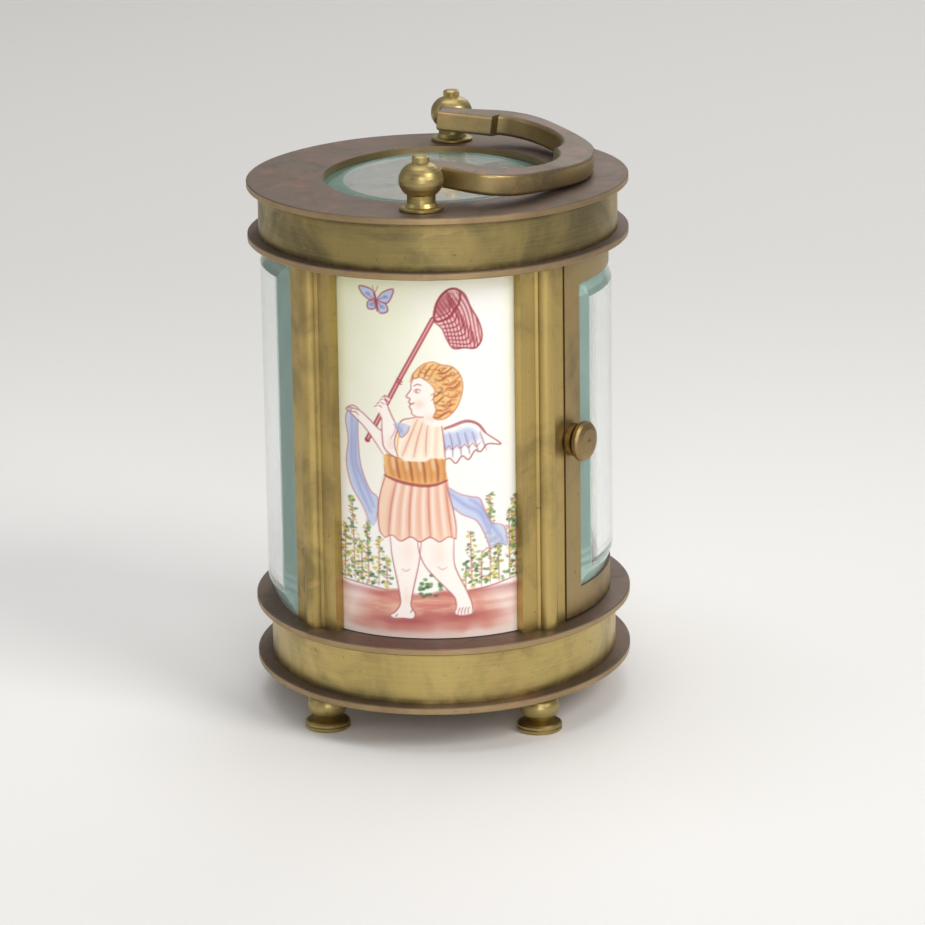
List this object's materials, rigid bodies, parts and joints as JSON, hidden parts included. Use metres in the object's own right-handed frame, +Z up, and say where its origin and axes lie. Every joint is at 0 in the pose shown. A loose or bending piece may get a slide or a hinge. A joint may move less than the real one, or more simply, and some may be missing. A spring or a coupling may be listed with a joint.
{
  "type": "carriage clock",
  "caption": "Oval brass carriage clock with curved bevelled glass, painted porcelain side panels, a folding loop handle, a hinged back door and a platform escapement movement.",
  "frame": {"origin": "centre of the box on plan, at the feet's soles", "axes": "+Z up; dial faces -Y, back door faces +Y, painted panels face -X and +X"},
  "size_m": [0.0596, 0.05, 0.0769],
  "materials": {
    "satin_brass": "aged satin brass",
    "toned_brass": "brass toned to a coppery brown",
    "movement_brass": "polished and lacquered brass",
    "gilt": "matt gilt",
    "bevelled_glass": "polished, bevelled edges",
    "porcelain": "white glazed porcelain with a painted scene",
    "enamel": "white fired enamel",
    "steel": "polished steel",
    "blued_steel": "heat-blued steel"
  },
  "bodies": {
    "case": {"back_plate": "movement_brass", "balance_cock": "movement_brass", "base_band": "satin_brass", "base_bottom_flange": "toned_brass", "base_top_flange": "toned_brass", "click_spring": "steel", "cornice_band": "satin_brass", "cornice_lower_flange": "toned_brass", "cornice_screws": "steel", "dial": "enamel", "dial_mask": "gilt", "dial_posts": "movement_brass", "escapement_bridge": "movement_brass", "finial_left": "satin_brass", "finial_right": "satin_brass", "foot_back_left": "satin_brass", "foot_back_right": "satin_brass", "foot_front_left": "satin_brass", "foot_front_right": "satin_brass", "front_glass": "bevelled_glass", "front_plate": "movement_brass", "handle_pivot_pins": "steel", "movement_pillars": "movement_brass", "movement_screws": "steel", "movement_seat": "movement_brass", "panel_left": "porcelain", "panel_right": "porcelain", "pillar_back_left": "satin_brass", "pillar_back_right": "satin_brass", "pillar_front_left": "satin_brass", "pillar_front_right": "satin_brass", "platform": "movement_brass", "top_glass": "bevelled_glass", "top_glass_retainer": "satin_brass", "top_plate": "toned_brass"},
    "handle": {"handle": "satin_brass"},
    "door": {"door_frame": "satin_brass", "door_glass": "bevelled_glass", "door_hinge_pins": "steel"},
    "knob": {"door_knob": "satin_brass", "latch_finger": "satin_brass"},
    "centre": {"centre_wheel": "movement_brass", "cannon_pinion": "steel", "minute_hand": "blued_steel", "hand_nut": "steel"},
    "hour": {"hour_wheel": "movement_brass", "hour_hand": "blued_steel"},
    "motion": {"minute_wheel": "movement_brass"},
    "barrel": {"barrel": "movement_brass", "mainspring": "steel"},
    "winding": {"barrel_arbor": "steel", "ratchet_wheel": "steel"},
    "click": {"click": "steel"},
    "third": {"third_wheel": "movement_brass"},
    "contrate": {"contrate_wheel": "movement_brass"},
    "escape": {"escape_wheel": "movement_brass"},
    "lever": {"pallet_lever": "steel"},
    "balance": {"balance_wheel": "movement_brass", "hairspring": "steel"},
    "regulator": {"regulator": "steel"}
  },
  "joints": [
    {"name": "handle_swing", "type": "hinge", "parent": "case", "child": "handle", "pos_m": [0, 0, 0.07384], "axis": [1, 0, 0], "range_deg": [0, 193.2]},
    {"name": "door_swing", "type": "hinge", "parent": "case", "child": "door", "pos_m": [-0.01498, 0.01705, 0.03807], "axis": [0, 0, 1], "range_deg": [0, 95]},
    {"name": "knob_turn", "type": "hinge", "parent": "door", "child": "knob", "pos_m": [0.01523, 0.01835, 0.03807], "axis": [0.4914, 0.8709, 0], "range_deg": [0, 90]},
    {"name": "minute_spin", "type": "hinge", "parent": "case", "child": "centre", "pos_m": [0, -0.01, 0.03807], "axis": [0, 1, 0], "continuous": true},
    {"name": "hour_spin", "type": "hinge", "parent": "case", "child": "hour", "pos_m": [0, -0.01, 0.03807], "axis": [0, 1, 0], "continuous": true},
    {"name": "minute_wheel_spin", "type": "hinge", "parent": "case", "child": "motion", "pos_m": [-0.00393, -0.012, 0.03532], "axis": [0, 1, 0], "continuous": true},
    {"name": "barrel_spin", "type": "hinge", "parent": "case", "child": "barrel", "pos_m": [0, -0.01, 0.02795], "axis": [0, 1, 0], "continuous": true},
    {"name": "third_spin", "type": "hinge", "parent": "case", "child": "third", "pos_m": [0.00553, -0.01, 0.04195], "axis": [0, 1, 0], "continuous": true},
    {"name": "contrate_spin", "type": "hinge", "parent": "case", "child": "contrate", "pos_m": [0.001, -0.01, 0.04526], "axis": [0, 1, 0], "continuous": true},
    {"name": "escape_spin", "type": "hinge", "parent": "case", "child": "escape", "pos_m": [0.001, -0.00387, 0.05475], "axis": [0, 0, 1], "continuous": true},
    {"name": "winding_spin", "type": "hinge", "parent": "case", "child": "winding", "pos_m": [0, -0.01, 0.02795], "axis": [0, 1, 0], "continuous": true},
    {"name": "click_lift", "type": "hinge", "parent": "case", "child": "click", "pos_m": [0.00458, 0.006, 0.0327], "axis": [0, 1, 0], "range_deg": [0, 10], "stiffness_Nm_per_rad": 0.00002},
    {"name": "lever_rock", "type": "hinge", "parent": "case", "child": "lever", "pos_m": [-0.0028, -0.00319, 0.05475], "axis": [0, 0, 1], "range_deg": [-5, 5]},
    {"name": "balance_swing", "type": "hinge", "parent": "case", "child": "balance", "pos_m": [-0.0066, -0.00249, 0.05745], "axis": [0, 0, 1], "range_deg": [-135, 135], "stiffness_Nm_per_rad": 0.000002, "deforming": ["hairspring"]},
    {"name": "regulator_turn", "type": "hinge", "parent": "case", "child": "regulator", "pos_m": [-0.0066, -0.00249, 0.0604], "axis": [0, 0, 1], "range_deg": [-20, 20]}
  ],
  "couplings": [
    {"joint": "hour_spin", "follows": "minute_spin", "ratio": 0.083333},
    {"joint": "minute_wheel_spin", "follows": "minute_spin", "ratio": -0.33333},
    {"joint": "barrel_spin", "follows": "minute_spin", "ratio": -0.125},
    {"joint": "third_spin", "follows": "minute_spin", "ratio": -8},
    {"joint": "contrate_spin", "follows": "minute_spin", "ratio": 60},
    {"joint": "escape_spin", "follows": "minute_spin", "ratio": -480}
  ]
}
